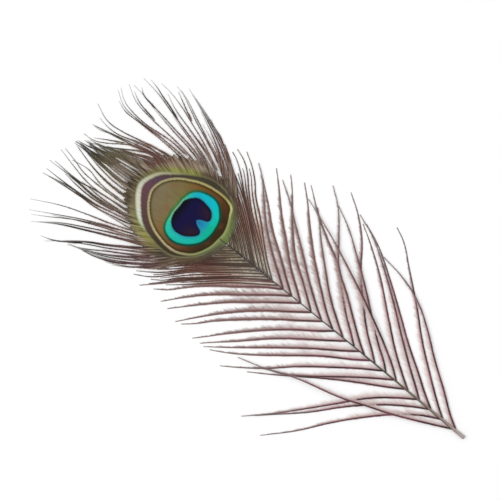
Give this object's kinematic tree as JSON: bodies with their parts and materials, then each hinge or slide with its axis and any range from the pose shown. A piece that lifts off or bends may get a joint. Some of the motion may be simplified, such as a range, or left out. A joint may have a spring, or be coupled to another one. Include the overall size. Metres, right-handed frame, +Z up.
{
  "type": "peacock feather",
  "caption": "Peacock tail feather lying flat: a slim tapering shaft, long loose barbs down both sides, a dense eye with concentric iridescent rings, and a wispy fringe past the eye.",
  "frame": {"origin": "under the middle of the feather's outline in plan, on the surface that it lies on", "axes": "+Y along the shaft from its cut end to the eye and fringe, +X across the feather to the right with the eye's patterned face up, +Z up off the surface"},
  "size_m": [0.1388, 0.2776, 0.0026],
  "materials": {
    "quill": "smooth horny shaft, olive-tan at the cut end and dark brown above",
    "loose_barb": "soft barbs, dark brown ribs with burgundy stretches and pale pinkish barbules",
    "web": "barbs lying close together, red-brown with a bronze sheen",
    "eye": "dense iridescent vane with navy heart, turquoise, bronze, gold and plum rings",
    "crown_tuft": "fine free barb ends, dark grey-brown fading to pale grey wisps"
  },
  "bodies": {
    "root": {"shaft": "quill", "right_barb_01": "loose_barb", "right_barb_02": "loose_barb", "right_barb_03": "loose_barb", "right_barb_04": "loose_barb", "right_barb_05": "loose_barb", "right_barb_06": "loose_barb", "right_barb_07": "loose_barb", "right_barb_08": "loose_barb", "right_barb_09": "loose_barb", "right_barb_10": "loose_barb", "right_barb_11": "loose_barb", "right_barb_12": "loose_barb", "right_barb_13": "loose_barb", "right_barb_14": "loose_barb", "right_barb_15": "loose_barb", "right_barb_16": "loose_barb", "right_barb_17": "loose_barb", "left_barb_01": "loose_barb", "left_barb_02": "loose_barb", "left_barb_03": "loose_barb", "left_barb_04": "loose_barb", "left_barb_05": "loose_barb", "left_barb_06": "loose_barb", "left_barb_07": "loose_barb", "left_barb_08": "loose_barb", "left_barb_09": "loose_barb", "left_barb_10": "loose_barb", "left_barb_11": "loose_barb", "left_barb_12": "loose_barb", "left_barb_13": "loose_barb", "left_barb_14": "loose_barb", "left_barb_15": "loose_barb", "left_barb_16": "loose_barb", "left_barb_17": "loose_barb", "right_web": "web", "left_web": "web", "eye_vane": "eye", "crown_tuft_01": "crown_tuft", "crown_tuft_02": "crown_tuft", "crown_tuft_03": "crown_tuft", "crown_tuft_04": "crown_tuft", "crown_tuft_05": "crown_tuft", "crown_tuft_06": "crown_tuft", "crown_tuft_07": "crown_tuft", "crown_tuft_08": "crown_tuft", "crown_tuft_09": "crown_tuft", "crown_tuft_10": "crown_tuft", "crown_tuft_11": "crown_tuft", "crown_tuft_12": "crown_tuft", "crown_tuft_13": "crown_tuft", "crown_tuft_14": "crown_tuft", "crown_tuft_15": "crown_tuft", "crown_tuft_16": "crown_tuft", "crown_tuft_17": "crown_tuft", "crown_tuft_18": "crown_tuft", "crown_tuft_19": "crown_tuft", "crown_tuft_20": "crown_tuft", "crown_tuft_21": "crown_tuft", "crown_tuft_22": "crown_tuft"}
  },
  "joints": []
}
